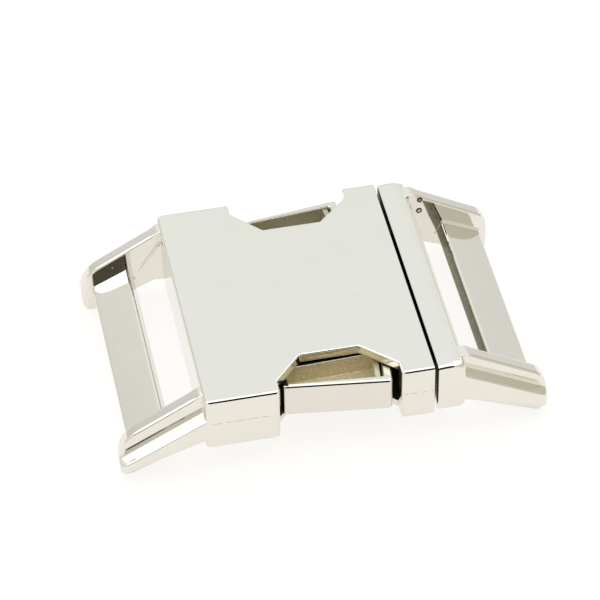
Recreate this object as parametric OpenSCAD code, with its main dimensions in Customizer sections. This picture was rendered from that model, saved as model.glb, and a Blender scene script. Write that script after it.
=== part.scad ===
// Side-release buckle for flat webbing, die-cast metal, shown closed and latched.
// +X runs from the socket half to the plug half, +Y across the webbing, +Z up.
// The origin is on the surface the buckle rests on, under the middle of its outline.

/* [Outline] */
// Width of both halves, across the webbing
body_w = 50; // [44:0.5:60]
// Length of the socket's box, without its arms
socket_l = 41.1; // [40:0.1:46]
// Height of the socket's box
body_h = 11.5; // [11:0.1:13]
// Gap between the two halves when latched
front_gap = 0.55; // [0.5:0.05:0.8]
// Length of the plug's base block
base_l = 5.15; // [4.5:0.05:6]

/* [Socket] */
// Thickness of the top and bottom plates
plate_t = 1.95; // [1.8:0.05:2.1]
// Thickness of the side walls
side_t = 2.8; // [2.2:0.1:3]
// Thickness of the closed wall on the webbing side
back_t = 2.3; // [2:0.1:3]
// Length of the finger notch along the side
notch_l = 21.7; // [21:0.1:22.5]
// Distance from the mouth to the finger notch
notch_front = 6.0; // [5.5:0.1:6.5]
// Depth of the finger notch in the plates
notch_d = 8.3; // [7.5:0.1:8.5]

/* [Webbing frame] */
// How far each half's arms reach beyond its block
arm_reach = 15.25; // [14.6:0.05:16]
// How far the arm tips hang below the middle of the body
arm_drop = 11.2; // [10.5:0.1:12]
// Distance of the arms' inner faces from the buckle's middle
arm_inner = 20; // [19.5:0.1:21]
// Width of the raised inner ridge of an arm
ridge_w = 2.85; // [2:0.05:3.2]
// Distance of the socket crossbar's outer edge from the socket's box
socket_bar_reach = 13.4; // [13:0.1:13.6]
// Width of the socket's crossbar, measured down its slope
socket_bar_w = 7.7; // [6:0.1:7.8]
// Distance of the plug crossbar's outer edge from the base block
plug_bar_reach = 13.8; // [13:0.1:14]
// Width of the plug's crossbar, measured down its slope
plug_bar_w = 8.3; // [6:0.1:8.4]
// Thickness of the crossbars
bar_t = 2.8; // [2:0.1:2.9]
// Slope of the crossbars, in degrees below level
bar_slope = 26.5; // [24:0.5:30]
// How much higher the plug's arms run than the socket's
plug_arm_lift = 0.3; // [0:0.1:0.6]
// How much higher than that the plug's outer ledges run
plug_ledge_lift = 1.15; // [0:0.05:1.2]

/* [Latch] */
// Height of the levers and of the plug's tongue
latch_h = 7.1; // [6.4:0.1:7.2]
// Half-width of the tongue's spine
spine_half = 8.5; // [7:0.1:9]
// Distance from the window's middle to the pivot, along X
pivot_back = 13.1; // [12.9:0.1:13.3]
// Distance of the pivots from the buckle's middle, across the webbing
pivot_y = 18.9; // [18.8:0.05:19]
// Diameter of the pivot pins
pin_d = 2; // [1.6:0.1:2.2]
// Radial play of a lever on its pin
pin_play = 0.05; // [0.03:0.01:0.08]
// How far a latched lever's shoulder stands behind the side wall's inner face
shoulder_hook = 2.05; // [1.8:0.05:2.2]
// Gap between a lever's shoulder and the window edge that stops it
shoulder_gap = 1.5; // [1.3:0.05:1.6]

/* [Springs] */
// Outside diameter of the compression springs
spring_d = 4.4; // [4:0.1:4.8]
// Wire diameter of the springs
spring_wire = 0.6; // [0.4:0.05:0.7]
// Number of turns in a spring
spring_turns = 5; // [4:1:6]

/* [Hidden] */
$fn = 48;
tiny = 0.01;

NICKEL = [0.83, 0.82, 0.78];
NICKEL_WARM = [0.80, 0.77, 0.71];
STEEL = [0.62, 0.62, 0.62];
WIRE = [0.45, 0.45, 0.47];

// The working frame: X = 0 at the socket's middle, Z = 0 at the body's mid-plane.
half_w = body_w / 2;
half_h = body_h / 2;
socket_x0 = -socket_l / 2;
socket_x1 = socket_l / 2;
base_x0 = socket_x1 + front_gap;
base_x1 = base_x0 + base_l;
frame_shift = [-(socket_x0 + base_x1) / 2, 0, arm_drop];

// Cavity inside the socket
cavity_half_h = half_h - plate_t;
cavity_half_w = half_w - side_t;
cavity_x0 = socket_x0 + back_t;

// Finger notch: straight through the side wall, then narrowing in the plates
notch_x1 = socket_x1 - notch_front;
notch_x0 = notch_x1 - notch_l;
notch_y = half_w - notch_d;
notch_mid = (notch_x0 + notch_x1) / 2;
notch_flat_x0 = notch_x0 + 5.1;
notch_flat_x1 = notch_x1 - 5.9;

// Arms, as side profiles measured outwards from the block's outer face
ledge_in_z = 1.5;
ledge_in_slope = 0.565;
ledge_out_z = 0.8;
ledge_out_slope = 0.515;
ledge_root_z = -3.6;
ledge_tip_z = -9;
ridge_top_z = half_h - 0.3;
ridge_slope = 0.57;
ridge_root_z = 0.4 - half_h;
arm_root_in = 1;

// Gusset in the inner corner between a block and an arm
gusset_l = 6;
gusset_w = 0.8;
gusset_top_z = 3.1;
gusset_low_z = -5.3;

// Height of a crossbar's outer upper edge
bar_out_z = -5.7;

// Tongue and latch
latch_half_h = latch_h / 2;
pivot_x = notch_mid - pivot_back;
ear_r = 2.3;
ear_t = 1.25;
eye_r = 2.1;
eye_half_h = latch_half_h - ear_t - 0.1;
heel_l = 4.6;
heel_t = 1.7;
heel_in = 0.8;
heel_gap = 0.1;
head_half = pivot_y - ear_r;
head_x0 = pivot_x - 5.4;
head_x1 = pivot_x + 3.3;
tongue_tip_x = head_x0 - 1.6;

// Lever outline, as distances from the buckle's middle plane
lever_x0 = notch_x0 + 1.05;
lever_x1 = notch_x1 - shoulder_gap;
lever_out0 = cavity_half_w - 0.3;
lever_out1 = cavity_half_w + shoulder_hook;
lever_in0 = 16.1;
lever_in1 = 15.5;
lever_wall_in = 1.25;
lever_wall_out0 = 0.75;
lever_wall_out1 = 1.5;
lever_end_slope = 0.13;
lever_end_t = 1.5;
rib_t = 0.85;
rib_gap = 0.55;
rib_drop = 0.5;
web_top = -0.35;
web_t = 0.9;

// Springs sit in a blind seat in the spine and over a stud on the lever
spring_x = 3.0;
seat_d = spring_d + 0.5;
seat_depth = 2.0;
seat_y = spine_half - seat_depth;
stud_d = spring_d - 2 * spring_wire - 0.5;
stud_l = 1.2;
spring_end_y = lever_in0 - 0.35;

// Moves a finished piece from the working frame to the origin it is delivered in.
module in_place() {
    translate(frame_shift) children();
}

// Extrudes a side profile drawn in X and Z, from y0 to y1.
module along_y(y0, y1) {
    translate([0, y1, 0]) rotate([90, 0, 0]) linear_extrude(y1 - y0) children();
}

// Draws its children on both sides of the buckle's middle plane.
module both_sides() {
    for (side = [0, 1]) mirror([0, side, 0]) children();
}

// Turns shapes drawn outwards along +X from a block's face at x = 0 into place.
module on_face(x, outwards) {
    translate([x, 0, 0]) mirror([outwards > 0 ? 0 : 1, 0, 0]) children();
}

// Side profile of an arm's tall inner ridge, with a rounded nose at the tip.
module ridge_profile(lift) {
    top_z = min(ridge_top_z + lift, half_h - 0.2);
    level_end = 0.3 + (ridge_top_z + lift - top_z) / ridge_slope;
    nose_x = arm_reach - 2.1;
    nose_z = ridge_top_z + lift - ridge_slope * (nose_x - 0.3);
    polygon([
        [-arm_root_in, top_z], [level_end, top_z], [nose_x, nose_z],
        [arm_reach - 1.1, nose_z - 1], [arm_reach - 0.4, nose_z - 2.3],
        [arm_reach, nose_z - 4], [arm_reach, nose_z - 6.2],
        [arm_reach - 0.3, 1.1 - arm_drop], [arm_reach - 0.8, 0.25 - arm_drop],
        [arm_reach - 1.3, -arm_drop], [arm_reach - 2.1, 0.2 - arm_drop],
        [0, ridge_root_z], [-arm_root_in, ridge_root_z]
    ]);
}

// Lower outer ledge of an arm: its top leans outwards and flattens towards the tip.
module arm_ledge(lift, ledge_lift) {
    y0 = arm_inner + ridge_w - tiny;
    root_z = ledge_root_z + lift;
    end_x = arm_reach - 0.15;
    function ledge_z(z, slope, x) = z + lift + ledge_lift - slope * x;
    polyhedron(
        points = [
            [-arm_root_in, y0, root_z], [-arm_root_in, half_w, root_z],
            [-arm_root_in, half_w, ledge_z(ledge_out_z, ledge_out_slope, -arm_root_in)],
            [-arm_root_in, y0, ledge_z(ledge_in_z, ledge_in_slope, -arm_root_in)],
            [arm_reach - 0.7, y0, ledge_tip_z], [arm_reach - 0.7, half_w, ledge_tip_z],
            [end_x, half_w, ledge_z(ledge_out_z, ledge_out_slope, end_x)],
            [end_x, y0, ledge_z(ledge_in_z, ledge_in_slope, end_x)]
        ],
        faces = [
            [0, 1, 2, 3], [7, 6, 5, 4], [0, 4, 5], [0, 5, 1],
            [1, 5, 6], [1, 6, 2], [2, 6, 7], [2, 7, 3], [3, 7, 4], [3, 4, 0]
        ]
    );
}

// Side profile of a crossbar, a flat bar sloping down with the arms.
module crossbar_profile(bar_reach, bar_w) {
    translate([bar_reach, bar_out_z]) rotate(-bar_slope)
        translate([-bar_w, -bar_t]) square([bar_w, bar_t]);
}

// Thin gusset whose upper edge runs down the arm's inner wall, away from the block.
module corner_gusset() {
    y1 = arm_inner + 0.1;
    polyhedron(
        points = [
            [-0.1, y1, gusset_top_z], [gusset_l, y1, gusset_low_z],
            [-0.1, arm_inner - gusset_w, gusset_low_z], [-0.1, y1, gusset_low_z]
        ],
        faces = [[0, 1, 2], [0, 2, 3], [0, 3, 1], [1, 3, 2]]
    );
}

// Webbing frame of one half: two sloping arms and the crossbar between their tips.
module webbing_frame(bar_reach, bar_w, lift, ledge_lift) {
    both_sides() {
        along_y(arm_inner, arm_inner + ridge_w) ridge_profile(lift);
        arm_ledge(lift, ledge_lift);
        corner_gusset();
    }
    along_y(-arm_inner - tiny, arm_inner + tiny) crossbar_profile(bar_reach, bar_w);
}

// Plan of the socket's box, with a finger notch in each side.
module socket_plan() {
    difference() {
        translate([socket_x0, -half_w]) square([socket_l, body_w]);
        for (side = [-1, 1]) polygon([
            [notch_x0, side * (half_w + 1)], [notch_x0, side * cavity_half_w],
            [notch_flat_x0, side * notch_y], [notch_flat_x1, side * notch_y],
            [notch_x1, side * cavity_half_w], [notch_x1, side * (half_w + 1)]
        ]);
    }
}

// Female half: a box open at the mouth and at both finger notches.
module socket_casting() {
    color(NICKEL) in_place() {
        difference() {
            translate([0, 0, -half_h]) linear_extrude(body_h) socket_plan();
            translate([cavity_x0, -cavity_half_w, -cavity_half_h])
                cube([socket_l, 2 * cavity_half_w, 2 * cavity_half_h]);
        }
        on_face(socket_x0, -1) webbing_frame(socket_bar_reach, socket_bar_w, 0, 0);
    }
}

// Plan of the tongue: a spine that widens at its root and ends in a crosshead.
module tongue_plan() {
    polygon([
        [base_x0 + 1, -13], [base_x0 - 1.2, -13], [base_x0 - 5, -spine_half],
        [head_x1 + 2, -spine_half], [head_x1, -spine_half - 2], [head_x1, -head_half],
        [head_x0, -head_half], [tongue_tip_x, -head_half + 2.4],
        [tongue_tip_x, head_half - 2.4], [head_x0, head_half],
        [head_x1, head_half], [head_x1, spine_half + 2], [head_x1 + 2, spine_half],
        [base_x0 - 5, spine_half], [base_x0 - 1.2, 13], [base_x0 + 1, 13]
    ]);
}

// Pair of ears that holds a pivot pin above and below the lever's eye.
module pivot_ears() {
    for (z = [-latch_half_h, latch_half_h - ear_t]) translate([pivot_x, 0, z]) {
        translate([0, -pivot_y, 0]) cylinder(r = ear_r, h = ear_t);
        translate([-ear_r, -pivot_y, 0]) cube([2 * ear_r, ear_r + tiny, ear_t]);
    }
}

// Stop wall behind a lever's heel, which limits how far the lever springs out.
module heel_stop() {
    reach = pivot_y - heel_in - heel_gap - head_half;
    translate([head_x0, -head_half - reach, -latch_half_h])
        cube([1.1, reach + tiny, latch_h]);
}

// Male half: base block with its webbing frame, and the tongue that carries the latch.
module plug_casting() {
    color(NICKEL) in_place() {
        difference() {
            union() {
                along_y(-half_w, half_w)
                    translate([base_x0, -half_h + 0.65]) square([base_l, body_h - 0.8]);
                translate([0, 0, -latch_half_h]) linear_extrude(latch_h) tongue_plan();
                both_sides() {
                    pivot_ears();
                    heel_stop();
                }
            }
            both_sides() {
                translate([pivot_x, -pivot_y, -half_h]) cylinder(d = pin_d, h = body_h);
                translate([spring_x, -seat_y, 0]) rotate([90, 0, 0])
                    cylinder(d = seat_d, h = half_w);
            }
        }
        on_face(base_x1, 1)
            webbing_frame(plug_bar_reach, plug_bar_w, plug_arm_lift, plug_ledge_lift);
    }
}

// X of a lever's end face at a distance y from the middle: it is square to the thumb face.
function lever_end_x(y) = lever_x1 + lever_end_slope * (lever_out1 - y);

// Plan of a whole lever, drawn for the near side, where Y is negative.
module lever_plan() {
    polygon([
        [lever_x0 + 1.4, -lever_in0], [lever_x0, -lever_in0 - 1.5],
        [lever_x0, -lever_out0 + 0.5], [lever_x0 + 0.45, -lever_out0],
        [lever_x1 - 0.5, -lever_out1], [lever_x1, -lever_out1 + 0.5],
        [lever_end_x(lever_in1), -lever_in1]
    ]);
}

// Plan of the pocket between a lever's inner and outer walls.
module lever_pocket_plan() {
    x0 = lever_x0 + 1.1;
    outer_y = lever_out1 - lever_wall_out1;
    inner_y = lever_in1 + lever_wall_in;
    polygon([
        [x0, -lever_in0 - lever_wall_in], [x0, -lever_out0 + lever_wall_out0],
        [lever_end_x(outer_y) - lever_end_t, -outer_y],
        [lever_end_x(inner_y) - lever_end_t, -inner_y]
    ]);
}

// Cross rib that leaves a narrow slot in front of the shoulder's end wall.
module lever_rib() {
    outer_y = lever_out1 - lever_wall_out1 / 2;
    inner_y = lever_in1 + lever_wall_in / 2;
    back = lever_end_t + rib_gap;
    translate([0, 0, web_top - tiny])
        linear_extrude(latch_half_h - web_top - rib_drop) polygon([
            [lever_end_x(outer_y) - back, -outer_y],
            [lever_end_x(inner_y) - back, -inner_y],
            [lever_end_x(inner_y) - back - rib_t, -inner_y],
            [lever_end_x(outer_y) - back - rib_t, -outer_y]
        ]);
}

// Latch lever: a thumb face, a hooked shoulder, and an eye that turns on its pin.
module latch_lever() {
    eye_plan_y = -pivot_y;
    difference() {
        union() {
            difference() {
                translate([0, 0, -latch_half_h]) linear_extrude(latch_h) lever_plan();
                translate([0, 0, web_top]) linear_extrude(latch_h) lever_pocket_plan();
                translate([0, 0, web_top - web_t - latch_h])
                    linear_extrude(latch_h) lever_pocket_plan();
            }
            lever_rib();
            translate([pivot_x, eye_plan_y, -eye_half_h])
                cylinder(r = eye_r, h = 2 * eye_half_h);
            translate([pivot_x, eye_plan_y - eye_r + 0.3, -eye_half_h])
                cube([lever_x0 - pivot_x + 0.5, 2 * eye_r - 0.6, 2 * eye_half_h]);
            translate([pivot_x - heel_l, eye_plan_y + heel_in - heel_t, -eye_half_h])
                cube([heel_l, heel_t, 2 * eye_half_h]);
            translate([spring_x, -lever_in0 - 0.4, 0]) rotate([-90, 0, 0])
                cylinder(d = stud_d, h = stud_l + 0.6);
        }
        translate([pivot_x, eye_plan_y, -half_h])
            cylinder(r = pin_d / 2 + pin_play, h = body_h);
    }
}

module near_lever() {
    color(NICKEL_WARM) in_place() latch_lever();
}

module far_lever() {
    color(NICKEL_WARM) in_place() mirror([0, 1, 0]) latch_lever();
}

// Steel pin, pressed into the ears and flush with them.
module pivot_pin() {
    translate([pivot_x, -pivot_y, -latch_half_h]) cylinder(d = pin_d, h = latch_h);
}

module near_pivot_pin() {
    color(STEEL) in_place() pivot_pin();
}

module far_pivot_pin() {
    color(STEEL) in_place() mirror([0, 1, 0]) pivot_pin();
}

// One ring of the spring's envelope stack stands for one turn of wire.
module spring_turn(y) {
    ring_r = (spring_d - spring_wire) / 2;
    translate([spring_x, y, 0]) rotate([90, 0, 0])
        rotate_extrude() translate([ring_r, 0]) circle(d = spring_wire, $fn = 16);
}

// Compression spring between the spine's seat and the lever.
module latch_spring() {
    first = -seat_y - spring_wire / 2;
    last = -spring_end_y + spring_wire / 2;
    step = (last - first) / (spring_turns - 1);
    ring_r = (spring_d - spring_wire) / 2;
    for (turn = [0 : spring_turns - 1]) spring_turn(first + turn * step);
    for (side = [-1, 1]) translate([spring_x + side * ring_r, last, 0])
        rotate([-90, 0, 0]) cylinder(d = spring_wire * 0.6, h = first - last, $fn = 16);
}

module near_spring() {
    color(WIRE) in_place() latch_spring();
}

module far_spring() {
    color(WIRE) in_place() mirror([0, 1, 0]) latch_spring();
}

socket_casting();
plug_casting();
near_lever();
far_lever();
near_pivot_pin();
far_pivot_pin();
near_spring();
far_spring();
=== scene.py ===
import math

import bmesh
import bpy
from mathutils import Matrix, Vector


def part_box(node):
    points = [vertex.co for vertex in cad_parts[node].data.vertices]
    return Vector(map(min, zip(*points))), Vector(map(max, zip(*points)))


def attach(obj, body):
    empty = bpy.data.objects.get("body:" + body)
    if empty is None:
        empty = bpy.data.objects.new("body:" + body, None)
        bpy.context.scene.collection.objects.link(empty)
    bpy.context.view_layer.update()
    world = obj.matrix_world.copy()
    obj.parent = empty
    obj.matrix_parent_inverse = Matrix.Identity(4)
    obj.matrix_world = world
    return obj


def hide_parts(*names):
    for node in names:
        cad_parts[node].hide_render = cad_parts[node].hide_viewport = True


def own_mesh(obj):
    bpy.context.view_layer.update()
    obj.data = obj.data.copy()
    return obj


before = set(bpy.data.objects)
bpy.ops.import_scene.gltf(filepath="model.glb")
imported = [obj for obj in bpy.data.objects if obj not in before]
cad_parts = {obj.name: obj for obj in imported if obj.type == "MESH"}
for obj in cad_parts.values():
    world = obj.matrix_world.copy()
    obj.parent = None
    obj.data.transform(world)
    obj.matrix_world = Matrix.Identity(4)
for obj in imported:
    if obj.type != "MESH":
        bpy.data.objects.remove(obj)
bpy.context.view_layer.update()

MM = 0.001

# ---------------------------------------------------------------------------------------------
# Sizes of the CAD model, in millimetres. The working frame has X = 0 at the middle of the
# socket's box and Z = 0 at the body's mid-plane; place() moves a point from it to the row frame.
# ---------------------------------------------------------------------------------------------
HALF_W = 25.0            # both halves, across the webbing
HALF_H = 5.75            # half the height of the socket's box
SOCKET_HALF_L = 20.55
SIDE_T = 2.8
PLATE_T = 1.95
BACK_T = 2.3
BASE_X0, BASE_X1 = 21.1, 26.25
BASE_Z0, BASE_Z1 = -5.1, 5.6
NOTCH_X0, NOTCH_X1 = -7.15, 14.55
NOTCH_FLAT_X0, NOTCH_FLAT_X1 = -2.05, 8.65
NOTCH_Y = 16.7
CAVITY_Y = HALF_W - SIDE_T
CAVITY_Z = HALF_H - PLATE_T
ARM_REACH = 15.25
ARM_DROP = 11.2
ARM_IN, ARM_RIDGE = 20.0, 22.85
RIDGE_TOP, RIDGE_SLOPE, RIDGE_ROOT = 5.45, 0.57, -5.35
BAR_OUT_Z, BAR_T, BAR_SLOPE = -5.7, 2.8, 26.5
PIVOT_X, PIVOT_Y, EYE_R, EYE_HALF_H = -9.4, 18.9, 2.1, 2.2
LATCH_HALF_H = 3.55
LEVER_X0, LEVER_X1, LEVER_END_SLOPE = -6.1, 13.05, 0.13
LEVER_OUT0, LEVER_OUT1 = 21.9, 24.25
LEVER_IN0, LEVER_IN1 = 16.1, 15.5
LEVER_EDGE_R = 0.62
POCKET_IN0, POCKET_IN1 = 17.35, 16.75
POCKET_OUT0, POCKET_OUT1 = 21.15, 22.75
POCKET_ROOT_WALL, POCKET_END_WALL = 1.1, 1.5
WEB_TOP, WEB_LOW = -0.35, -1.25
STUD_R = 0.95            # thinner than in the CAD, to clear the spring when the lever is pressed
HOLE_R = 1.05
SPRING_X, SPRING_Y0, SPRING_Y1 = 3.0, 6.5, 15.75
SPRING_D, SPRING_WIRE, SPRING_TURNS = 4.4, 0.6, 5

# The webbing frame of each half: where its block ends and which way it runs, how far its
# crossbar reaches and how wide that is, the fillets at its ends, how far the arms and
# ledges are raised, and the radius of the arms' noses.
SOCKET_FRAME = {
    "face_x": -SOCKET_HALF_L, "outwards": -1, "bar_reach": 13.4, "bar_w": 7.7,
    "fillet_r": 0.4, "lift": 0.0, "ledge_lift": 0.0, "nose_r": 7.0}
PLUG_FRAME = {
    "face_x": BASE_X1, "outwards": 1, "bar_reach": 13.8, "bar_w": 8.3,
    "fillet_r": 1.3, "lift": 0.3, "ledge_lift": 1.15, "nose_r": 4.2}

socket_lo, socket_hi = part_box("socket_casting")
ORIGIN = Vector((
    socket_lo[0] / MM + ARM_REACH + SOCKET_HALF_L, 0.0, socket_hi[2] / MM - HALF_H))


def place(x, y, z):
    """A point of the working frame, in metres in the row frame."""
    return (Vector((x, y, z)) + ORIGIN) * MM


# ---------------------------------------------------------------------------------------------
# Mesh helpers
# ---------------------------------------------------------------------------------------------
ROUND_STEPS = 40         # sides of a round bar, pin or eye
SHARP_ANGLE = 32.0       # degrees: edges that turn more than this stay sharp in the shading


def new_object(name, mesh):
    obj = bpy.data.objects.new(name, mesh)
    bpy.context.scene.collection.objects.link(obj)
    return obj


def mesh_from(bm, name):
    bmesh.ops.recalc_face_normals(bm, faces=bm.faces)
    mesh = bpy.data.meshes.new(name)
    bm.to_mesh(mesh)
    bm.free()
    return mesh


def applied(obj):
    """Replaces the object's mesh with its evaluated one, and drops the modifiers."""
    bpy.context.view_layer.update()
    graph = bpy.context.evaluated_depsgraph_get()
    mesh = bpy.data.meshes.new_from_object(obj.evaluated_get(graph))
    obj.modifiers.clear()
    obj.data = mesh
    return obj


def rounded(corners, steps=4):
    """Points of a polygon whose corners (a, b, radius) are turned into arcs of equal counts."""
    points = []
    count = len(corners)
    for i, (a, b, radius) in enumerate(corners):
        corner = Vector((a, b))
        to_prev = Vector(corners[i - 1][:2]) - corner
        to_next = Vector(corners[(i + 1) % count][:2]) - corner
        u, v = to_prev.normalized(), to_next.normalized()
        half = math.acos(max(-1.0, min(1.0, u.dot(v)))) / 2
        tangent = min(radius / math.tan(half), 0.46 * to_prev.length, 0.46 * to_next.length)
        reach = tangent * math.tan(half)
        centre = corner + (u + v).normalized() * (reach / math.sin(half))
        start, end = corner + u * tangent - centre, corner + v * tangent - centre
        turn = math.atan2(start.x * end.y - start.y * end.x, start.dot(end))
        for k in range(steps + 1):
            c, s = math.cos(turn * k / steps), math.sin(turn * k / steps)
            points.append(centre + Vector((start.x * c - start.y * s, start.x * s + start.y * c)))
    return points


def loft(name, rings):
    """A closed mesh through rings of equally many points, capped at both ends."""
    bm = bmesh.new()
    loops = [[bm.verts.new(place(*p)) for p in ring] for ring in rings]
    for a, b in zip(loops, loops[1:]):
        for i in range(len(a)):
            j = (i + 1) % len(a)
            bm.faces.new((a[i], a[j], b[j], b[i]))
    bm.faces.new(loops[0])
    bm.faces.new(loops[-1])
    bmesh.ops.remove_doubles(bm, verts=bm.verts, dist=1e-7)
    return new_object(name, mesh_from(bm, name))


def closed_loop(name, rings):
    """A closed ring-shaped mesh: the last ring of points is joined to the first."""
    bm = bmesh.new()
    loops = [[bm.verts.new(place(*p)) for p in ring] for ring in rings]
    for a, b in zip(loops, loops[1:] + loops[:1]):
        for i in range(len(a)):
            j = (i + 1) % len(a)
            bm.faces.new((a[i], a[j], b[j], b[i]))
    return new_object(name, mesh_from(bm, name))


def prism(name, plan, z0, z1):
    """An upright prism over a plan of (x, y) points."""
    return loft(name, [[(x, y, z) for x, y in plan] for z in (z0, z1)])


def box_piece(name, low, high):
    plan = [(low[0], low[1]), (high[0], low[1]), (high[0], high[1]), (low[0], high[1])]
    return prism(name, plan, low[2], high[2])


def tube(name, radius, start, end, chamfer=0.0):
    """A straight round bar from start to end along Y or Z, chamfered at both ends."""
    start, end = Vector(start), Vector(end)
    along = (end - start).normalized()
    across = Vector((1, 0, 0))
    other = along.cross(across)
    rings = []
    for middle, r in ((start, radius - chamfer), (start + along * chamfer, radius),
                      (end - along * chamfer, radius), (end, radius - chamfer)):
        rings.append([middle + r * (
            across * math.cos(math.tau * k / ROUND_STEPS)
            + other * math.sin(math.tau * k / ROUND_STEPS)) for k in range(ROUND_STEPS)])
    return loft(name, rings if chamfer else [rings[0], rings[-1]])


def arc_drop(distance, radius):
    """How far a rounded edge has fallen away, at a distance in from where it ends."""
    if distance >= radius:
        return 0.0
    return radius - math.sqrt(radius ** 2 - (radius - distance) ** 2)


def combine(obj, others, operation):
    """Joins or cuts with the exact solver, one object after another, and removes the others."""
    for other in others:
        boolean = obj.modifiers.new("boolean", "BOOLEAN")
        boolean.operation = operation
        boolean.solver = "EXACT"
        boolean.object = other
        applied(obj)
        bpy.data.objects.remove(other)
    return obj


def bevelled(obj, width_of, segments, flat_angle=8.0):
    """Rounds edges: width_of(middle, direction, angle) gives each edge's width in millimetres.

    The middle is in the working frame, and the angle is signed: positive on an outer edge."""
    bm = bmesh.new()
    bm.from_mesh(obj.data)
    bmesh.ops.remove_doubles(bm, verts=bm.verts, dist=2e-6)
    bmesh.ops.dissolve_limit(
        bm, angle_limit=math.radians(0.6), verts=bm.verts, edges=bm.edges, delimit=set())
    widths = []
    for edge in bm.edges:
        width = 0.0
        if len(edge.link_faces) == 2:
            angle = math.degrees(edge.calc_face_angle_signed(0.0))
            if abs(angle) > flat_angle:
                a, b = (v.co / MM - ORIGIN for v in edge.verts)
                width = width_of((a + b) / 2, (b - a).normalized(), angle)
        widths.append(width)
    widest = max(widths)
    layer = bm.edges.layers.float.new("bevel_weight_edge")
    for edge, width in zip(bm.edges, widths):
        edge[layer] = width / widest
    bm.to_mesh(obj.data)
    bm.free()
    bevel = obj.modifiers.new("bevel", "BEVEL")
    bevel.limit_method = "WEIGHT"
    bevel.offset_type = "OFFSET"
    bevel.width = widest * MM
    bevel.segments = segments
    bevel.use_clamp_overlap = True
    bevel.miter_outer = "MITER_SHARP"
    return applied(obj)


def finished(obj, material):
    """Shades smooth with true flat faces, and gives the piece its material."""
    bm = bmesh.new()
    bm.from_mesh(obj.data)
    bmesh.ops.remove_doubles(bm, verts=bm.verts, dist=5e-7)
    bmesh.ops.dissolve_degenerate(bm, dist=5e-7, edges=bm.edges)
    bm.to_mesh(obj.data)
    bm.free()
    mesh = obj.data
    mesh.shade_smooth()
    mesh.set_sharp_from_angle(angle=math.radians(SHARP_ANGLE))
    normals = obj.modifiers.new("normals", "WEIGHTED_NORMAL")
    normals.mode = "FACE_AREA"
    normals.weight = 100
    normals.keep_sharp = True
    mesh.materials.clear()
    mesh.materials.append(material)
    return obj


# ---------------------------------------------------------------------------------------------
# Shapes shared by both halves
# ---------------------------------------------------------------------------------------------
FILLET_FROM = 34         # degrees from a crossbar's face at which its end fillets start
TIP_END_R = 1.6          # length over which the nose rounds off towards its sides
TIP_LOW = [              # underside of the nose: distance short of the tip, height over the floor
    (1.9, 0.0), (1.4, 0.0), (0.9, 0.08), (0.5, 0.4), (0.22, 1.0), (0.06, 1.8), (0.0, 2.8)]
GUSSET_L, GUSSET_W, GUSSET_TOP, GUSSET_LOW = 6.0, 0.8, 3.1, -5.3
BEAD_R, BEAD_STEPS, BEAD_LENGTH, BEAD_LOW = 0.28, 16, 4.7, -3.3
PLUG_MARKS = [(BASE_X1 + 2.15, 4.1), (BASE_X1 + 2.0, 1.55)]      # ejector marks: x, z


def arm(name, half, side):
    """One arm of a webbing frame: a tall ridge with a lower ledge outside it."""
    lift, nose_r = half["lift"], half["nose_r"]
    slope = math.atan(RIDGE_SLOPE)
    nose_x = ARM_REACH - nose_r * (1 - math.sin(slope))
    top_centre = (ARM_REACH - nose_r,
                  RIDGE_TOP + lift - RIDGE_SLOPE * (nose_x - 0.3) - nose_r * math.cos(slope))
    low_start = ARM_REACH - TIP_LOW[0][0]

    def top(x):
        if x <= nose_x:
            return min(RIDGE_TOP + lift - RIDGE_SLOPE * (x - 0.3), RIDGE_TOP + lift / 3)
        return top_centre[1] + math.sqrt(max(0.0, nose_r ** 2 - (x - top_centre[0]) ** 2))

    def bottom(x):
        if x <= low_start:
            return max(RIDGE_ROOT - (0.45 - 0.1 * lift) * max(x, 0.0), -ARM_DROP)
        short = ARM_REACH - x
        for (far, low), (near, high) in zip(TIP_LOW, TIP_LOW[1:]):
            if near <= short <= far:
                return low + (high - low) * (far - short) / (far - near) - ARM_DROP
        return TIP_LOW[-1][1] - ARM_DROP

    stations = [-0.9, 0.0, 0.3, 0.65, 2.0, 5.0, 8.0, 10.5, 12.0]
    stations += [ARM_REACH - 2.75 * (1 - math.sin(math.radians(a))) for a in range(0, 90, 6)]
    stations += [ARM_REACH - 0.004, ARM_REACH]
    rings = []
    for x in stations:
        over = max(0.0, x / ARM_REACH - (1 - TIP_END_R / ARM_REACH)) * ARM_REACH / TIP_END_R
        curl = 1 - math.sqrt(max(0.0, 1 - over ** 2))
        z_top, z_low = top(x), bottom(x)
        raised = lift + half["ledge_lift"]
        ledge_in = min(1.5 + raised - 0.555 * x, z_top - 0.25) - 0.1 * curl
        ledge_out = min(0.8 + raised - 0.533 * x, ledge_in - 0.2) - 0.3 * curl
        ledge_low = max(-3.6 + lift - 0.347 * (x + 1), z_low + 0.12)
        outer = HALF_W - (0.03 if x > 0 else 0.08) - 1.0 * curl
        inner = ARM_IN + 0.9 * curl
        draft = 0.25 if x > -0.5 else 0.0
        edge_r = 0.15 + 0.45 * min(1.0, max(0.0, (x - 0.3) / 1.7))
        root_r = 0.15 + 0.15 * max(0.0, x / ARM_REACH)
        ring = rounded([
            (inner - draft, z_low, 0.75), (ARM_RIDGE, z_low, 0.45),
            (ARM_RIDGE, ledge_low, 0.3), (outer, ledge_low, 0.7),
            (outer, ledge_out, 0.45), (ARM_RIDGE, ledge_in, root_r),
            (ARM_RIDGE, z_top, edge_r), (inner + draft, z_top, 0.85 * edge_r)])
        rings.append([(half["face_x"] + half["outwards"] * x, side * y, z) for y, z in ring])
    return loft(name, rings)


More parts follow.
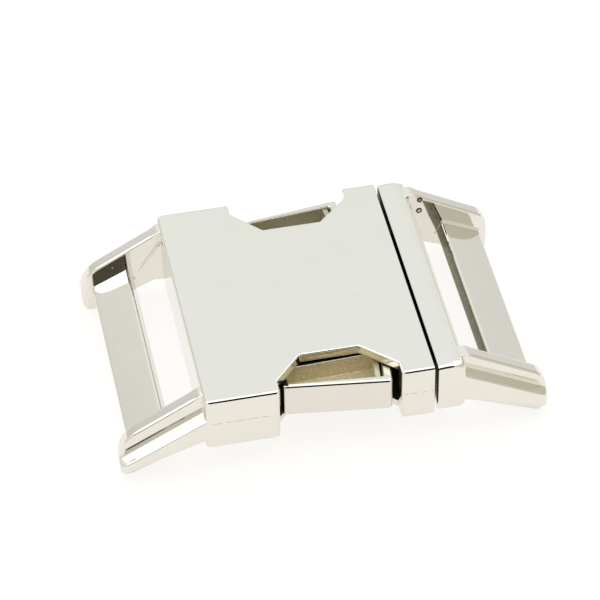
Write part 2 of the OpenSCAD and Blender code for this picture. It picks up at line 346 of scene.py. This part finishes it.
def on_bar(half, a, b, y):
    """A point from its place on a crossbar: a down the slope and b off the upper face."""
    lean = math.radians(BAR_SLOPE)
    x = half["bar_reach"] + a * math.cos(lean) + b * math.sin(lean)
    z = BAR_OUT_Z - a * math.sin(lean) + b * math.cos(lean)
    return (half["face_x"] + half["outwards"] * x, y, z)


def crossbar(name, half):
    """The flat bar that the webbing runs round."""
    width = half["bar_w"]
    ring = rounded([(-width, -BAR_T, 0.8), (0, -BAR_T, 0.8), (0, 0, 0.55), (-width, 0, 0.5)])
    return loft(name, [
        [on_bar(half, a, b, y) for a, b in ring] for y in (-ARM_IN - 0.6, ARM_IN + 0.6)])


def bar_fillet(name, half, side):
    """The hollow fillet between a crossbar's upper face and an arm's inner wall."""
    r = half["fillet_r"]
    low = r * (1 - math.cos(math.radians(FILLET_FROM)))
    profile = [(ARM_IN + 0.4, -0.3)]
    for k in range(13):
        turn = math.radians(FILLET_FROM + (90 - FILLET_FROM) * k / 12)
        profile.append((ARM_IN + 0.2 - r * (1 - math.sin(turn)),
                        r * (1 - math.cos(turn)) - low - 0.02))
    profile.insert(1, (profile[1][0], -0.3))
    profile.append((ARM_IN + 0.4, r - low))
    return loft(name, [[on_bar(half, a, b, side * y) for y, b in profile]
                       for a in (0.03 - half["bar_w"], -0.35)])


def gusset(name, half, side):
    """The thin gusset in the inner corner between a block and an arm."""
    y1 = ARM_IN + 0.2
    bm = bmesh.new()
    corners = [bm.verts.new(place(half["face_x"] + half["outwards"] * x, side * y, z))
               for x, y, z in (
        (-0.2, y1, GUSSET_TOP + 0.2), (GUSSET_L, y1, GUSSET_LOW),
        (-0.2, ARM_IN - GUSSET_W, GUSSET_LOW), (-0.2, y1, GUSSET_LOW - 0.1))]
    for a, b, c in ((0, 1, 2), (0, 2, 3), (0, 3, 1), (1, 3, 2)):
        bm.faces.new((corners[a], corners[b], corners[c]))
    return new_object(name, mesh_from(bm, name))


def bead(name, start, end):
    """A thin round bead laid along a wall, tapering at its ends."""
    start, end = Vector(start), Vector(end)
    along = (end - start).normalized()
    across = Vector((0, 1, 0))
    other = along.cross(across)
    rings = []
    for t, size in ((0.0, 0.25), (0.03, 0.8), (0.12, 1.0), (0.6, 1.0), (0.85, 0.7), (1.0, 0.2)):
        middle = start.lerp(end, t)
        rings.append([middle + BEAD_R * size * (
            across * math.cos(math.tau * k / BEAD_STEPS)
            + other * math.sin(math.tau * k / BEAD_STEPS)) for k in range(BEAD_STEPS)])
    return loft(name, rings)


def ring_groove(name, x, y, z):
    """A cutter for a small ring-shaped mark in a wall that faces -Y."""
    middle_r, half, depth, steps = 0.48, 0.17, 0.3, 28
    rings = []
    for k in range(steps):
        a = math.tau * k / steps
        out = Vector((math.cos(a), 0, math.sin(a)))
        rings.append([Vector((x, y, z)) + out * (middle_r + r) + Vector((0, d, 0))
                      for r, d in ((-half, -0.2), (half, -0.2), (half, depth), (-half, depth))])
    return closed_loop(name, rings)


def frame_pieces(name, half):
    pieces = [crossbar(name + "_bar", half)]
    for side in (-1, 1):
        pieces.append(arm(f"{name}_arm{side}", half, side))
        pieces.append(gusset(f"{name}_gusset{side}", half, side))
        pieces.append(bar_fillet(f"{name}_fillet{side}", half, side))
    return pieces


# ---------------------------------------------------------------------------------------------
# Castings
# ---------------------------------------------------------------------------------------------
def build_socket():
    plan = [(-SOCKET_HALF_L, -HALF_W)]
    notch = [(NOTCH_X0, HALF_W), (NOTCH_X0, CAVITY_Y), (NOTCH_FLAT_X0, NOTCH_Y),
             (NOTCH_FLAT_X1, NOTCH_Y), (NOTCH_X1, CAVITY_Y), (NOTCH_X1, HALF_W)]
    plan += [(x, -y) for x, y in notch]
    plan += [(SOCKET_HALF_L, -HALF_W), (SOCKET_HALF_L, HALF_W)]
    plan += [(x, y) for x, y in reversed(notch)]
    plan += [(-SOCKET_HALF_L, HALF_W)]
    body = prism("socket_body", plan, -HALF_H, HALF_H)
    cavity = box_piece(
        "cavity", (-SOCKET_HALF_L + BACK_T, -CAVITY_Y, -CAVITY_Z),
        (SOCKET_HALF_L + 2, CAVITY_Y, CAVITY_Z))
    combine(body, [cavity], "DIFFERENCE")

    def width_of(middle, direction, angle):
        if angle < 0:
            return 0.25
        upright = abs(direction.z) > 0.9
        far = middle.y > CAVITY_Y + 0.1
        on_plate = abs(abs(middle.z) - HALF_H) < 0.05
        in_notch = NOTCH_X0 - 0.1 < middle.x < NOTCH_X1 + 0.1 and abs(middle.y) > NOTCH_Y - 0.1
        if on_plate and middle.z < 0:
            return 0.8
        if on_plate and in_notch:
            return 0.3
        if middle.x > SOCKET_HALF_L - 0.05:
            return 0.2 if on_plate else 0.9 if far else 0.06
        if on_plate:
            return 0.9 if far and abs(direction.x) > 0.9 else 0.62
        if upright and abs(abs(middle.y) - HALF_W) < 0.05:
            if middle.x > NOTCH_X0 - 0.1:
                return 0.45 if far else 0.8
            return 1.6 if far else 1.0
        return 0.2

    bevelled(body, width_of, segments=4)
    pieces = frame_pieces("socket", SOCKET_FRAME)
    for side in (-1, 1):
        pieces.append(bead(
            f"socket_bead{side}", (-SOCKET_HALF_L - 0.15, side * ARM_IN, GUSSET_TOP),
            (-SOCKET_HALF_L - BEAD_LENGTH, side * ARM_IN, BEAD_LOW)))
    return combine(body, pieces, "UNION")


def base_strip():
    """The plug's base block: a bar with a pillowed top and rounded ends."""
    distances = [1.5 * (1 - math.cos(math.radians(a))) for a in range(0, 91, 10)] + [3.0]
    built = []
    for side, corner_r, top_r in ((-1, 0.05, 0.7), (1, 1.35, 1.0)):
        end = []
        for d in distances:
            drop = arc_drop(d, top_r) + 0.007 * max(0.0, 3.0 - d) ** 2
            tilt = max(0.0, 1.0 - d)
            x0, x1 = BASE_X0 + arc_drop(d, corner_r), BASE_X1 - arc_drop(d, 0.9)
            if side < 0:     # the near end stands a little closer to the socket
                x0 -= 0.02 * max(0.0, 3.0 - d) ** 2
            z0, z1 = BASE_Z0 + 0.7 * arc_drop(d, 1.0), BASE_Z1 - drop
            middle = (x0 + x1) / 2
            ring = rounded([
                (x0, z0, 0.8), (x1, z0, 1.0), (x1, z1 - 0.3 - 0.9 * tilt, 1.3),
                (middle + 0.7, z1, 5.0),
                (middle - 0.9, z1, 5.0), (x0, z1 - 0.12, 0.3)], steps=5)
            end.append([(x, side * (HALF_W - d), z) for x, z in ring])
        built += end if side < 0 else reversed(end)
    return loft("plug_body", built)


def tongue():
    """The plug's tongue, cut from its CAD node, with its small edges rounded."""
    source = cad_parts["plug_casting"]
    bm = bmesh.new()
    bm.from_mesh(source.data)
    bmesh.ops.remove_doubles(bm, verts=bm.verts, dist=2e-6)
    cut = bmesh.ops.bisect_plane(
        bm, geom=bm.verts[:] + bm.edges[:] + bm.faces[:], dist=1e-7,
        plane_co=place(BASE_X0 - 0.02, 0, 0), plane_no=(1, 0, 0), clear_outer=True)
    rim = [e for e in cut["geom_cut"] if isinstance(e, bmesh.types.BMEdge)]
    bmesh.ops.holes_fill(bm, edges=rim)
    obj = new_object("tongue", mesh_from(bm, "tongue"))

    def width_of(middle, direction, angle):
        if abs(angle) < 40 or middle.x > BASE_X0 - 0.1:
            return 0.0
        return 0.2 if angle > 0 else 0.0

    bevelled(obj, width_of, segments=2, flat_angle=30)
    for v in obj.data.vertices:      # runs the root into the base block
        if v.co.x > place(BASE_X0 - 0.1, 0, 0).x:
            v.co.x = place(BASE_X0 + 1.2, 0, 0).x
    return obj


def build_plug():
    body = base_strip()
    combine(body, frame_pieces("plug", PLUG_FRAME) + [tongue()], "UNION")
    marks = [ring_groove(f"mark{z}", x, ARM_IN, z) for x, z in PLUG_MARKS]
    return combine(body, marks, "DIFFERENCE")


def lever_end_x(y):
    return LEVER_X1 + LEVER_END_SLOPE * (LEVER_OUT1 - y)


def lever_outline(side, z, drawn_in):
    """A lever's plan at one height, its thumb face and end drawn in for the rounded edge."""
    out0, out1 = LEVER_OUT0 - 0.06 - drawn_in, LEVER_OUT1 + 0.06 - drawn_in
    end_in = 0.4 * drawn_in
    plan = rounded([
        (LEVER_X0 + 1.4, LEVER_IN0, 0.3), (LEVER_X0, LEVER_IN0 + 1.5, 0.3),
        (LEVER_X0, out0, 0.5), (LEVER_X1 - end_in, out1, 0.6),
        (lever_end_x(LEVER_IN1) - end_in, LEVER_IN1, 0.25)])
    return [(x, side * y, z) for x, y in plan]


def lever_pocket(name, side, floor_z, top_z):
    """A cutter for a lever's pocket, with a filleted floor and a broken upper edge."""
    up = 1 if top_z > floor_z else -1
    rings = []
    for z, grown in ((floor_z, -0.3), (floor_z + 0.1 * up, -0.1), (floor_z + 0.35 * up, 0.0),
                     (top_z - 0.12 * up, 0.0), (top_z + 0.3 * up, 0.42)):
        plan = rounded([
            (LEVER_X0 + POCKET_ROOT_WALL - grown, POCKET_IN0 - grown, 0.4),
            (LEVER_X0 + POCKET_ROOT_WALL - grown, POCKET_OUT0 + grown, 0.4),
            (lever_end_x(POCKET_OUT1) - POCKET_END_WALL + grown, POCKET_OUT1 + grown, 0.4),
            (lever_end_x(POCKET_IN1) - POCKET_END_WALL + grown, POCKET_IN1 - grown, 0.4)])
        rings.append([(x, side * y, z) for x, y in plan])
    return loft(name, rings)


def build_lever(name, side):
    """A lever: a hollow thumb block that narrows towards the eye it turns on."""
    rings = []
    for a in range(0, 91, 15):
        a = math.radians(a)
        rings.append(lever_outline(side, LEVER_EDGE_R * (1 - math.sin(a)) - LATCH_HALF_H,
                                   LEVER_EDGE_R * (1 - math.cos(a))))
    rings = rings[::-1]
    rings += [[(x, y, -z) for x, y, z in ring] for ring in reversed(rings)]
    body = loft(name, rings)
    combine(body, [lever_pocket(name + "_top", side, WEB_TOP, LATCH_HALF_H),
                   lever_pocket(name + "_low", side, WEB_LOW, -LATCH_HALF_H)], "DIFFERENCE")
    rib = [(lever_end_x(23.2) - 2.05, 23.2), (lever_end_x(16.2) - 2.05, 16.2),
           (lever_end_x(16.2) - 2.9, 16.2), (lever_end_x(23.2) - 2.9, 23.2)]
    y = side * PIVOT_Y
    arm_half = EYE_R - 0.3
    pieces = [
        prism(name + "_rib", [(a, side * b) for a, b in rib], WEB_TOP - 0.1, LATCH_HALF_H - 0.51),
        box_piece(name + "_arm", (PIVOT_X, y - arm_half, -EYE_HALF_H),
                  (LEVER_X0 + 0.5, y + arm_half, EYE_HALF_H)),
        box_piece(name + "_heel", (PIVOT_X - 4.6, min(side * 18.1, side * 19.8), -EYE_HALF_H),
                  (PIVOT_X, max(side * 18.1, side * 19.8), EYE_HALF_H)),
        tube(name + "_eye", EYE_R, (PIVOT_X, y, -EYE_HALF_H), (PIVOT_X, y, EYE_HALF_H), 0.15),
        tube(name + "_stud", STUD_R, (SPRING_X, side * 16.5, 0), (SPRING_X, side * 15.0, 0), 0.2)]
    combine(body, pieces, "UNION")
    hole = tube(name + "_hole", HOLE_R, (PIVOT_X, y, -4), (PIVOT_X, y, 4))
    return combine(body, [hole], "DIFFERENCE")


def build_pin(name, side):
    """A pressed pin with chamfered, slightly dished ends."""
    profile = [(0.0, 0.06), (0.55, 0.0), (0.82, 0.0), (0.95, 0.1), (1.0, 0.28)]
    rings = []
    rising = [(r, -LATCH_HALF_H + z) for r, z in profile]
    for r, z in rising + [(r, -z) for r, z in reversed(rising)]:
        rings.append([(
            PIVOT_X + max(r, 0.02) * math.cos(math.tau * k / ROUND_STEPS),
            side * PIVOT_Y + max(r, 0.02) * math.sin(math.tau * k / ROUND_STEPS), z)
            for k in range(ROUND_STEPS)])
    return loft(name, rings)


def build_spring(name, side):
    """A wound compression spring with closed, ground ends."""
    coil_r = (SPRING_D - SPRING_WIRE) / 2
    wire_r = SPRING_WIRE / 2
    length = SPRING_Y1 - SPRING_Y0 - SPRING_WIRE
    per_turn, wire_steps = 36, 12
    count = int(per_turn * (SPRING_TURNS + 1))
    rings = []
    for i in range(count + 1):
        turn = i / per_turn
        # the end turns lie almost flat, the free ones share the length that is left
        closed = SPRING_WIRE * 1.02
        free = (length - 2 * closed) / (SPRING_TURNS - 1)
        if turn < 1:
            along = closed * turn
        elif turn > SPRING_TURNS:
            along = length - closed * (SPRING_TURNS + 1 - turn)
        else:
            along = closed + free * (turn - 1)
        angle = math.tau * turn
        centre = Vector((SPRING_X + coil_r * math.cos(angle), along + SPRING_Y0 + wire_r,
                         coil_r * math.sin(angle)))
        out = Vector((math.cos(angle), 0, math.sin(angle)))
        ring = []
        for k in range(wire_steps):
            a = math.tau * k / wire_steps
            p = centre + out * (wire_r * math.cos(a)) + Vector((0, wire_r * math.sin(a), 0))
            ring.append((p.x, side * p.y, p.z))
        rings.append(ring)
    return loft(name, rings)


# ---------------------------------------------------------------------------------------------
# Materials
# ---------------------------------------------------------------------------------------------
WAVE = 0.02              # height of the slow swell that polishing leaves, in millimetres
MARK_R = 0.46            # radius of the painted shade line in an ejector mark's ring groove
SEAM_Z = 0.35            # height of the parting line over the mid-plane


class Nodes:
    """Short calls for building a node tree."""

    def __init__(self, tree):
        self.tree = tree
        tree.nodes.clear()

    def add(self, kind, inputs=None, **settings):
        node = self.tree.nodes.new(kind)
        for key, value in settings.items():
            setattr(node, key, value)
        for key, value in (inputs or {}).items():
            self.feed(node.inputs[key], value)
        return node

    def feed(self, socket, value):
        if isinstance(value, bpy.types.NodeSocket):
            self.tree.links.new(value, socket)
        else:
            socket.default_value = value

    def math(self, operation, *values, clamp=False):
        node = self.add("ShaderNodeMath", operation=operation, use_clamp=clamp)
        for socket, value in zip(node.inputs, values):
            self.feed(socket, value)
        return node.outputs[0]

    def ramp(self, value, low, high, to_low=0.0, to_high=1.0):
        node = self.add("ShaderNodeMapRange", {
            "Value": value, "From Min": low, "From Max": high,
            "To Min": to_low, "To Max": to_high}, interpolation_type="SMOOTHSTEP")
        return node.outputs[0]

    def mix(self, factor, a, b):
        node = self.add("ShaderNodeMix", data_type="RGBA")
        self.feed(node.inputs[0], factor)
        self.feed(node.inputs[6], a)
        self.feed(node.inputs[7], b)
        return node.outputs[2]

    def noise(self, vector, scale, detail=2.0, roughness=0.5):
        return self.add("ShaderNodeTexNoise", {
            "Vector": vector, "Scale": scale, "Detail": detail,
            "Roughness": roughness}).outputs[0]


def metal(name, colour, rough, part="plain", deep_colour=None, deep_rough=0.0, painted_gap_shade=None):
    """Bright plated metal: a fine polish outside, and inside a duller finish painted darker as
    shade.

    The part is "casting", "lever" or "plain". It tells where the inside is, and a plain part
    has none. The last argument is a stretch along X, in the row frame, where two faces nearly
    meet; it is painted near-black there as shade in the gap."""
    material = bpy.data.materials.new(name)
    material.use_nodes = True
    n = Nodes(material.node_tree)
    place_mm = n.add("ShaderNodeVectorMath", operation="SCALE")
    n.feed(place_mm.inputs[0], n.add("ShaderNodeTexCoord").outputs["Object"])
    place_mm.inputs["Scale"].default_value = 1000.0
    mm = place_mm.outputs[0]
    split = n.add("ShaderNodeSeparateXYZ", {0: mm})
    x, y, z = split.outputs
    rise = n.math("ABSOLUTE", n.math("SUBTRACT", z, ORIGIN.z))
    run = n.math("ABSOLUTE", y)

    cloud = n.noise(mm, 0.16, 3.0)
    grain = n.noise(mm, 2.2, 4.0, 0.6)
    stretch = n.add("ShaderNodeVectorMath", {0: mm, 1: (0.25, 3.2, 3.2)}, operation="MULTIPLY")
    polish = n.noise(stretch.outputs[0], 3.0, 3.0, 0.65)

    # deep marks the inside: its duller, rougher finish is real, and its darker colour is painted
    # shade of the recesses
    deep = None
    if part == "casting":
        deep = n.math("MULTIPLY", n.ramp(rise, CAVITY_Z + 0.9, CAVITY_Z - 0.1),
                      n.ramp(run, 21.9, 20.9))
        in_block = n.math("MULTIPLY", n.ramp(x, -20.9, -20.3), n.ramp(x, 18.6, 18.3))
        deep = n.math("MULTIPLY", deep, in_block)
    if part == "lever":      # all but the thumb face and the rim round it
        from_root = n.math("SUBTRACT", x, LEVER_X0 + ORIGIN.x)
        face = n.math("MULTIPLY_ADD", from_root, (LEVER_OUT1 - LEVER_OUT0) / 18.2,
                      LEVER_OUT0 - 0.06)
        deep = n.math("MULTIPLY", n.ramp(n.math("SUBTRACT", face, run), 0.3, 0.6),
                      n.ramp(rise, LATCH_HALF_H - 0.03, LATCH_HALF_H - 0.2))

    rough_out = n.math("ADD", n.math("MULTIPLY", cloud, 0.35 * rough),
                       n.math("MULTIPLY", polish, 0.5 * rough))
    rough_out = n.math("ADD", rough_out, 0.55 * rough)
    tone = n.mix(n.ramp(cloud, 0.3, 0.7), (*[c * 0.985 for c in colour], 1), (*colour, 1))
    if deep is not None:
        patchy = n.mix(n.ramp(grain, 0.3, 0.75), (*deep_colour, 1),
                       (*[min(1.0, c * 1.35) for c in deep_colour], 1))
        if part == "lever":  # painted shade: the far lever's pocket is painted darker than the near one
            far_pocket_painted_shade = n.add("ShaderNodeVectorMath", {0: patchy, 1: (0.78, 0.80, 0.86)},
                          operation="MULTIPLY")
            patchy = n.mix(n.ramp(y, -1.0, 1.0), patchy, far_pocket_painted_shade.outputs[0])
        tone = n.mix(deep, tone, patchy)
        rough_out = n.math("ADD", rough_out,
                           n.math("MULTIPLY", deep, n.math("ADD", n.math(
                               "MULTIPLY", grain, 0.2), deep_rough)))

    if part == "lever":      # painted shade: the walls' upper edges, close under the plates, are painted near-black
        shade = n.math("MAXIMUM", n.ramp(run, 17.5, 17.4), n.ramp(from_root, 1.15, 1.05))
        shade = n.math("MULTIPLY", shade, n.ramp(rise, LATCH_HALF_H - 0.1, LATCH_HALF_H - 0.03))
        tone = n.mix(shade, tone, (0.02, 0.018, 0.014, 1))
        rough_out = n.math("ADD", rough_out, n.math("MULTIPLY", shade, 0.35))
    if part == "casting":    # painted dark reflection on the crossbars' inner sides, at the webbing slots
        lean = math.radians(BAR_SLOPE)
        for half, start in ((SOCKET_FRAME, 2.0), (PLUG_FRAME, 0.25)):
            outwards, width = half["outwards"], half["bar_w"]
            corner = place(half["face_x"] + outwards * half["bar_reach"], 0, BAR_OUT_Z) / MM
            from_corner = n.add("ShaderNodeVectorMath", {0: mm, 1: corner}, operation="SUBTRACT")
            down_slope = n.add("ShaderNodeVectorMath", {
                0: from_corner.outputs[0],
                1: (outwards * math.cos(lean), 0.0, -math.sin(lean))}, operation="DOT_PRODUCT")
            depth = n.add("ShaderNodeVectorMath", {
                0: from_corner.outputs[0],
                1: (-outwards * math.sin(lean), 0.0, -math.cos(lean))}, operation="DOT_PRODUCT")
            edge = n.ramp(down_slope.outputs["Value"], -width + 0.18, -width + 0.1)
            edge = n.math("MULTIPLY", edge, n.ramp(
                down_slope.outputs["Value"], -width - 0.3, -width - 0.1))
            edge = n.math("MULTIPLY", edge, n.ramp(run, 19.95, 19.85))
            edge = n.math("MULTIPLY", edge, n.ramp(depth.outputs["Value"], start, start + 0.15))
            edge = n.math("MULTIPLY", edge, n.ramp(
                depth.outputs["Value"], BAR_T + 0.15, BAR_T + 0.05))
            # painted dark reflection: darker, rougher colour where the bars' inner sides would
            # mirror dark surroundings
            painted_dark_reflection = n.mix(n.ramp(grain, 0.3, 0.7), (0.15, 0.14, 0.10, 1), (0.25, 0.23, 0.16, 1))
            tone = n.mix(edge, tone, painted_dark_reflection)
            rough_out = n.math("ADD", rough_out, n.math("MULTIPLY", edge, 0.22))
        # painted shade: a near-black line in each ejector mark's ring groove
        for k, (mark_x, mark_z) in enumerate(PLUG_MARKS):
            centre = n.add("ShaderNodeVectorMath", {
                0: mm, 1: place(mark_x, ARM_IN, mark_z) / MM}, operation="DISTANCE")
            mark = n.math("ABSOLUTE", n.math("SUBTRACT", centre.outputs["Value"], MARK_R))
            mark = n.math("SUBTRACT", mark, n.math("MULTIPLY", grain, 0.16))
            mark = n.ramp(mark, 0.16, 0.04)
            tone = n.mix(mark, tone, (0.06, 0.055, 0.04, 1))
            rough_out = n.math("ADD", rough_out, n.math("MULTIPLY", mark, 0.3 - 0.1 * k))
    if painted_gap_shade:
        # painted shade: near-black across the gap stretch, above a ragged lower limit
        dark = n.math("MULTIPLY", n.ramp(x, painted_gap_shade[0] - 0.06, painted_gap_shade[0]),
                      n.ramp(x, painted_gap_shade[1] + 0.06, painted_gap_shade[1]))
        lowest = n.math("MULTIPLY_ADD", grain, 1.5, ORIGIN.z - 4.2)
        dark = n.math("MULTIPLY", dark, n.ramp(n.math("SUBTRACT", z, lowest), 0.0, 0.8))
        tone = n.mix(dark, tone, (0.008, 0.008, 0.007, 1))
        rough_out = n.math("ADD", rough_out, n.math("MULTIPLY", dark, 0.3))

    swell = n.noise(mm, 0.3, 1.0)
    rim = n.math("MULTIPLY", n.ramp(run, 24.1, 24.7), 0.07)
    height = n.math("ADD", n.math("MULTIPLY", swell, n.math("ADD", rim, WAVE)),
                    n.math("MULTIPLY", polish, 0.0012))
    pit = n.add("ShaderNodeTexVoronoi", {"Vector": mm, "Scale": 0.42, "Randomness": 1.0})
    pit_depth = n.math("MULTIPLY", n.ramp(pit.outputs["Distance"], 0.07, 0.02), -0.02)
    height = n.math("ADD", height, pit_depth)
    if deep is not None:
        height = n.math("ADD", height, n.math("MULTIPLY", n.math("MULTIPLY", grain, deep), 0.05))
    if part == "casting":    # the parting line, polished away in places
        seam = n.math("ABSOLUTE", n.math("SUBTRACT", z, ORIGIN.z + SEAM_Z))
        seam = n.math("MULTIPLY", n.ramp(seam, 0.14, 0.04), n.ramp(run, 24.85, 24.95))
        seam = n.math("MULTIPLY", seam, n.math(
            "MULTIPLY", n.ramp(x, -22.4, -22.2), n.ramp(x, 17.5, 17.3)))
        seam = n.math("MULTIPLY", seam, n.ramp(n.noise(mm, 1.1, 2.0), 0.38, 0.52))
        height = n.math("ADD", height, n.math("MULTIPLY", seam, -0.05))
    bump = n.add("ShaderNodeBump", {"Height": height, "Strength": 1.0, "Distance": MM})
    shader = n.add("ShaderNodeBsdfPrincipled", {
        "Base Color": tone, "Metallic": 1.0, "Roughness": rough_out,
        "Normal": bump.outputs[0]})
    out = n.add("ShaderNodeOutputMaterial")
    material.node_tree.links.new(shader.outputs[0], out.inputs[0])
    return material


# The darker inside colours given here are painted shade of the hollows.
NICKEL = metal("nickel_casting", (0.80, 0.765, 0.70), 0.06, "casting",
               (0.46, 0.42, 0.31), 0.2, painted_gap_shade=(17.66, 18.3))
LEVER = metal("nickel_lever", (0.755, 0.715, 0.65), 0.07, "lever",
              (0.62, 0.57, 0.42), 0.5, painted_gap_shade=(-9.2, -8.75))
PIN = metal("pin_steel", (0.56, 0.55, 0.53), 0.16)
WIRE = metal("spring_wire", (0.45, 0.44, 0.43), 0.22)

# ---------------------------------------------------------------------------------------------
# The pieces, on their bodies
# ---------------------------------------------------------------------------------------------
PIECES = [
    (build_socket, (), "socket_shell", "socket_casting", "socket", "nickel_casting", NICKEL),
    (build_plug, (), "plug_shell", "plug_casting", "plug", "nickel_casting", NICKEL),
    (build_lever, ("near_thumb", -1), "near_lever_shell", "near_lever", "near_lever",
     "nickel_lever", LEVER),
    (build_lever, ("far_thumb", 1), "far_lever_shell", "far_lever", "far_lever",
     "nickel_lever", LEVER),
    (build_pin, ("near_pin", -1), "near_pin", "near_pivot_pin", "plug", "pin_steel", PIN),
    (build_pin, ("far_pin", 1), "far_pin", "far_pivot_pin", "plug", "pin_steel", PIN),
    (build_spring, ("near_coil", -1), "near_coil", "near_spring", "plug", "spring_wire", WIRE),
    (build_spring, ("far_coil", 1), "far_coil", "far_spring", "plug", "spring_wire", WIRE),
]
for build, arguments, name, node, body, slot_name, material in PIECES:
    piece = finished(build(*arguments), material)
    piece.name = name
    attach(piece, body)
    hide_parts(node)

for name, joint, side in (("near_coil", "near_lever_press", -1),
                          ("far_coil", "far_lever_press", 1)):
    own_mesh(bpy.data.objects[name])

# ---------------------------------------------------------------------------------------------
# Floor, light and camera
# ---------------------------------------------------------------------------------------------
scene = bpy.context.scene
scene.view_settings.view_transform = "Standard"

floor_mesh = bpy.data.meshes.new("floor")
bm = bmesh.new()
bmesh.ops.create_grid(bm, x_segments=1, y_segments=1, size=1.6)
bm.to_mesh(floor_mesh)
bm.free()
floor = new_object("floor", floor_mesh)
paper = bpy.data.materials.new("paper")
paper.use_nodes = True
n = Nodes(paper.node_tree)
coords = n.add("ShaderNodeTexCoord").outputs["Object"]
fibre = n.noise(coords, 900.0, 3.0)
shade = n.mix(fibre, (0.15, 0.149, 0.145, 1), (0.17, 0.169, 0.165, 1))
shader = n.add("ShaderNodeBsdfPrincipled", {
    "Base Color": shade, "Roughness": 0.9, "Specular IOR Level": 0.1,
    "Emission Color": (1.0, 0.99, 0.965, 1), "Emission Strength": 0.84})
out = n.add("ShaderNodeOutputMaterial")
paper.node_tree.links.new(shader.outputs[0], out.inputs[0])
floor_mesh.materials.append(paper)

world = bpy.data.worlds.new("studio")
scene.world = world
world.use_nodes = True
n = Nodes(world.node_tree)
split = n.add("ShaderNodeSeparateXYZ", {0: n.add("ShaderNodeTexCoord").outputs["Generated"]})
wx, wy, wz = split.outputs
wall = n.mix(n.ramp(wz, 0.1, 0.75), (0.80, 0.81, 0.79, 1), (0.98, 1.03, 1.03, 1))
top_light = n.math("MULTIPLY", n.ramp(wy, 0.66, 0.54), n.ramp(wz, 0.50, 0.66))
wall = n.mix(top_light, wall, (1.7, 1.7, 1.7, 1))
right = n.math("MULTIPLY", n.ramp(wx, 0.60, 0.72), n.ramp(wz, 0.8, 0.6))
right = n.math("MULTIPLY", right, n.ramp(wy, 0.66, 0.5))
wall = n.mix(right, wall, (0.64, 0.62, 0.53, 1))
left = n.math("MULTIPLY", n.ramp(wx, -0.42, -0.64), n.ramp(wy, 0.4, 0.6))
wall = n.mix(left, wall, (0.72, 0.73, 0.715, 1))


def oval(x, z, half_x, half_z, soft):
    """How far inside a soft-edged oval in the front half of the surroundings."""
    a = n.math("DIVIDE", n.math("SUBTRACT", wx, x), half_x)
    b = n.math("DIVIDE", n.math("SUBTRACT", wz, z), half_z)
    spread = n.math("SQRT", n.math("ADD", n.math("MULTIPLY", a, a), n.math("MULTIPLY", b, b)))
    return n.math("MULTIPLY", n.ramp(wy, -0.1, -0.3), n.ramp(spread, 1.0 + soft, 1.0 - soft))


wall = n.mix(oval(0.62, 0.3, 0.42, 0.3, 0.15), wall, (0.74, 0.76, 0.68, 1))
wall = n.mix(oval(-0.56, 0.61, 0.12, 0.11, 0.25), wall, (1.9, 2.0, 2.25, 1))
wall = n.mix(oval(-0.33, 0.36, 0.38, 0.15, 0.05), wall, (0.095, 0.085, 0.065, 1))
wall = n.mix(oval(0.08, 0.43, 0.36, 0.42, 0.05), wall, (0.012, 0.012, 0.012, 1))
background = n.add("ShaderNodeBackground", {"Color": wall, "Strength": 1.0})
out = n.add("ShaderNodeOutputWorld")
world.node_tree.links.new(background.outputs[0], out.inputs[0])

key_data = bpy.data.lights.new("softbox", "AREA")
key_data.shape = "DISK"
key_data.size = 1.2
key_data.energy = 3.0
key = bpy.data.objects.new("softbox", key_data)
key.location = (0.1, 0.25, 1.2)
key.rotation_euler = (Vector((0, 0, 0)) - key.location).to_track_quat("-Z", "Y").to_euler()
key.visible_glossy = False
scene.collection.objects.link(key)

camera_data = bpy.data.cameras.new("camera")
camera_data.sensor_width = 36.0
camera_data.lens = 185.142
camera_data.clip_start, camera_data.clip_end = 0.01, 20.0
camera = bpy.data.objects.new("camera", camera_data)
right_axis = Vector((0.97924, -0.20240, -0.01134))
down_axis = Vector((-0.14798, -0.67546, -0.72239))
forward = Vector((0.13855, 0.70907, -0.69139))
turn = Matrix((right_axis, -down_axis, -forward)).transposed().to_4x4()
camera.matrix_world = Matrix.Translation(place(-75.63, -394.52, 387.45)) @ turn
scene.collection.objects.link(camera)
scene.camera = camera
